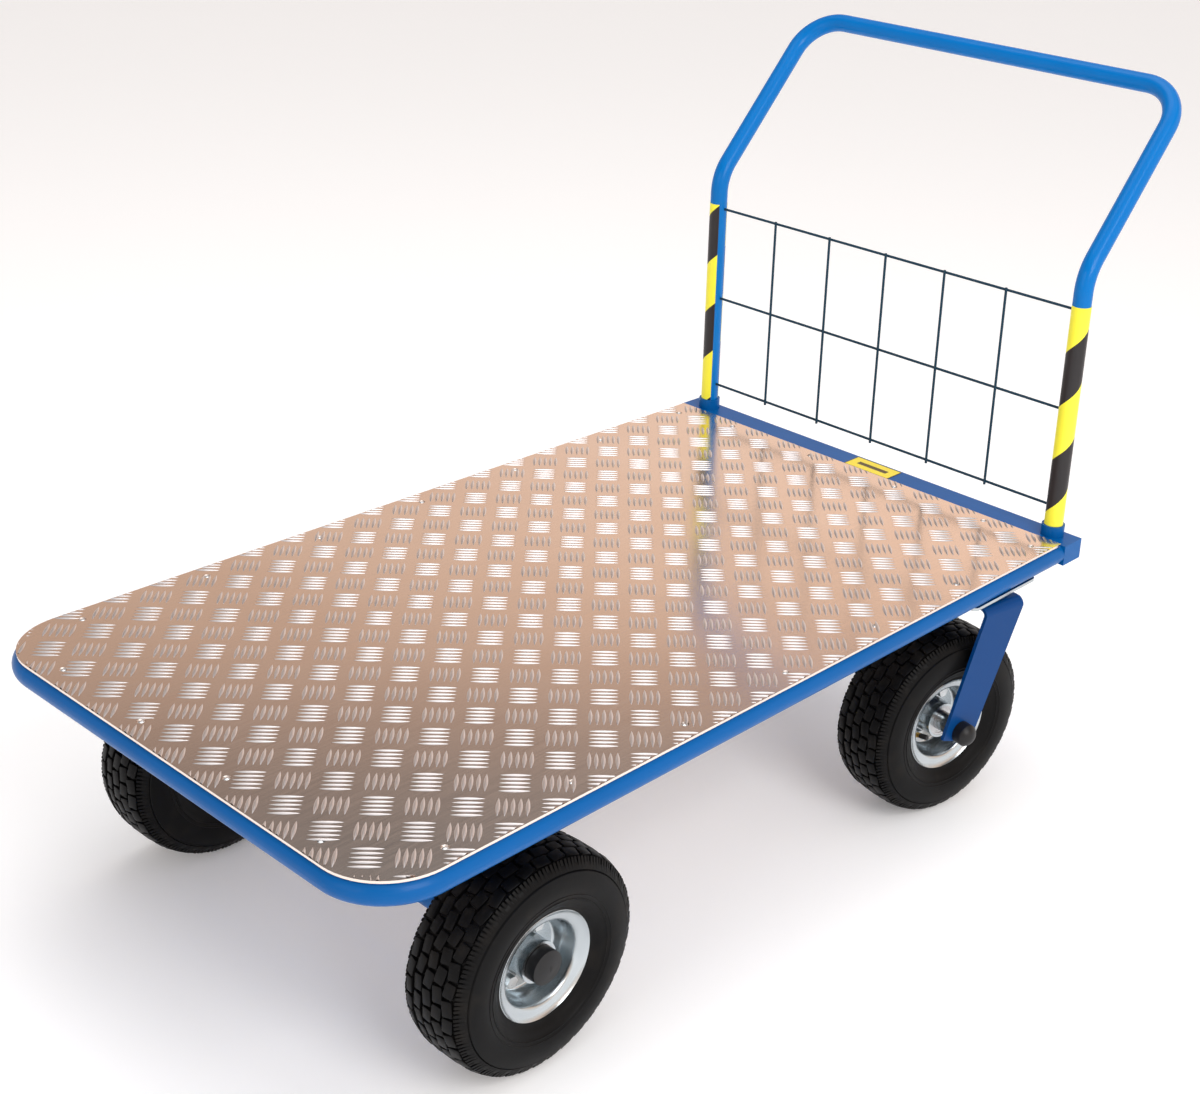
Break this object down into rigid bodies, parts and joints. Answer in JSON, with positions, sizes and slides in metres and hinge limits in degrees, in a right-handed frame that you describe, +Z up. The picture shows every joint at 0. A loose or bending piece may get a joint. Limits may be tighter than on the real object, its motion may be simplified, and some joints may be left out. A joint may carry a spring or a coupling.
{
  "type": "platform cart",
  "caption": "Flat-deck platform cart with a tread plate deck, plug-in tube handle with wire mesh, swivel rear casters and fixed front wheels on pneumatic tyres.",
  "frame": {"origin": "on the floor under the centre of the bounding box", "axes": "+X forward, away from the handle; +Y to the left; +Z up; the tyres stand on z = 0"},
  "size_m": [1.3802, 0.7296, 0.9214],
  "materials": {
    "frame_paint": "gloss blue powder coat",
    "handle_paint": "gloss bright blue powder coat",
    "fork_paint": "gloss blue powder coat",
    "tread_aluminium": "bright rolled tread plate",
    "zinc_plate": "zinc plated pressed steel",
    "bright_zinc": "bright zinc plated fasteners",
    "bearing_steel": "ground bearing steel",
    "tyre_rubber": "moulded black rubber",
    "tube_rubber": "smooth black rubber with a brass stem",
    "hazard_tape": "yellow and black striped film",
    "label_film": "plain yellow film with a dark border",
    "black_plastic": "satin black moulded plastic"
  },
  "bodies": {
    "deck": {"frame_tube": "frame_paint", "rear_rail": "frame_paint", "rail_end_plates": "frame_paint", "side_ledges": "frame_paint", "end_ledges": "frame_paint", "caster_channels": "frame_paint", "axle_channels": "frame_paint", "middle_crossmember": "frame_paint", "handle_sockets": "frame_paint", "deck_plate": "tread_aluminium", "deck_rivets": "tread_aluminium", "load_label": "label_film", "axle_hanger_left": "frame_paint", "axle_hanger_right": "frame_paint", "axle_sleeve": "frame_paint", "front_axle": "zinc_plate", "front_axle_spacers": "zinc_plate", "front_axle_caps": "black_plastic", "caster_plate_left": "zinc_plate", "caster_plate_right": "zinc_plate", "kingpin_left": "zinc_plate", "kingpin_right": "zinc_plate"},
    "handle": {"handle_tube": "handle_paint", "mesh_panel": "handle_paint", "tape_left": "hazard_tape", "tape_right": "hazard_tape"},
    "caster_left": {"fork_left": "fork_paint", "swivel_balls_left": "bearing_steel", "caster_axle_left": "zinc_plate", "caster_spacers_left": "zinc_plate", "caster_caps_left": "black_plastic"},
    "caster_right": {"fork_right": "fork_paint", "swivel_balls_right": "bearing_steel", "caster_axle_right": "zinc_plate", "caster_spacers_right": "zinc_plate", "caster_caps_right": "black_plastic"},
    "wheel_front_left": {"tyre_front_left": "tyre_rubber", "inner_tube_front_left": "tube_rubber", "rim_outer_front_left": "zinc_plate", "rim_inner_front_left": "zinc_plate", "bearings_front_left": "bearing_steel", "rim_bolts_front_left": "bright_zinc"},
    "wheel_front_right": {"tyre_front_right": "tyre_rubber", "inner_tube_front_right": "tube_rubber", "rim_outer_front_right": "zinc_plate", "rim_inner_front_right": "zinc_plate", "bearings_front_right": "bearing_steel", "rim_bolts_front_right": "bright_zinc"},
    "wheel_rear_left": {"tyre_rear_left": "tyre_rubber", "inner_tube_rear_left": "tube_rubber", "rim_outer_rear_left": "zinc_plate", "rim_inner_rear_left": "zinc_plate", "bearings_rear_left": "bearing_steel", "rim_bolts_rear_left": "bright_zinc"},
    "wheel_rear_right": {"tyre_rear_right": "tyre_rubber", "inner_tube_rear_right": "tube_rubber", "rim_outer_rear_right": "zinc_plate", "rim_inner_rear_right": "zinc_plate", "bearings_rear_right": "bearing_steel", "rim_bolts_rear_right": "bright_zinc"}
  },
  "joints": [
    {"name": "handle_lift", "type": "slide", "parent": "deck", "child": "handle", "axis": [0, 0, 1], "range_m": [0, 0.06]},
    {"name": "caster_left_swivel", "type": "hinge", "parent": "deck", "child": "caster_left", "pos_m": [-0.33388, 0.292, 0.3], "axis": [0, 0, 1], "continuous": true},
    {"name": "caster_right_swivel", "type": "hinge", "parent": "deck", "child": "caster_right", "pos_m": [-0.33388, -0.292, 0.3], "axis": [0, 0, 1], "continuous": true},
    {"name": "wheel_front_left_spin", "type": "hinge", "parent": "deck", "child": "wheel_front_left", "pos_m": [0.45112, 0.284, 0.13], "axis": [0, 1, 0], "continuous": true},
    {"name": "wheel_front_right_spin", "type": "hinge", "parent": "deck", "child": "wheel_front_right", "pos_m": [0.45112, -0.284, 0.13], "axis": [0, 1, 0], "continuous": true},
    {"name": "wheel_rear_left_spin", "type": "hinge", "parent": "caster_left", "child": "wheel_rear_left", "pos_m": [-0.2748, 0.28158, 0.13], "axis": [0.1736, 0.9848, 0], "continuous": true},
    {"name": "wheel_rear_right_spin", "type": "hinge", "parent": "caster_right", "child": "wheel_rear_right", "pos_m": [-0.2748, -0.28158, 0.13], "axis": [-0.1736, 0.9848, 0], "continuous": true}
  ]
}
